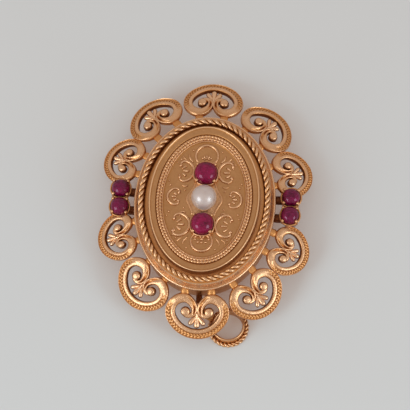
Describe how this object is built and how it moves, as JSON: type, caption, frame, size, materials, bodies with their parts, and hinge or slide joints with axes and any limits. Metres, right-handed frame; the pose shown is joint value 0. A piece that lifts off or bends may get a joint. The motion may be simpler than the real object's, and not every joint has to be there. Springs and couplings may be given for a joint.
{
  "type": "pendant brooch",
  "caption": "Oval gold pendant brooch with a pierced scroll border, rope rim, raised scroll plaque, ruby cabochons, a pearl, a swivelling bail ring and a pin on the back.",
  "frame": {"origin": "on the surface that the brooch lies on, under the pearl in the middle of the oval", "axes": "+Z out of the face, +Y along the oval to the end opposite the bail, +X across it"},
  "size_m": [0.0381, 0.0489, 0.0126],
  "materials": {
    "gold": "polished rose gold, worn soft",
    "plaque_gold": "satin bloomed gold",
    "ruby": "polished purple-red cabochon",
    "pearl": "pearl lustre"
  },
  "bodies": {
    "brooch": {"frame": "gold", "plaque": "plaque_gold", "pearl": "pearl", "ruby_upper": "ruby", "ruby_lower": "ruby", "ruby_left_upper": "ruby", "ruby_left_lower": "ruby", "ruby_right_upper": "ruby", "ruby_right_lower": "ruby", "bail_rivet": "gold", "brooch_pin": "gold"},
    "bail": {"bail": "gold"}
  },
  "joints": [
    {"name": "bail_swivel", "type": "hinge", "parent": "brooch", "child": "bail", "pos_m": [0, -0.0184, 0.0015], "axis": [0, 0, 1], "continuous": true}
  ]
}
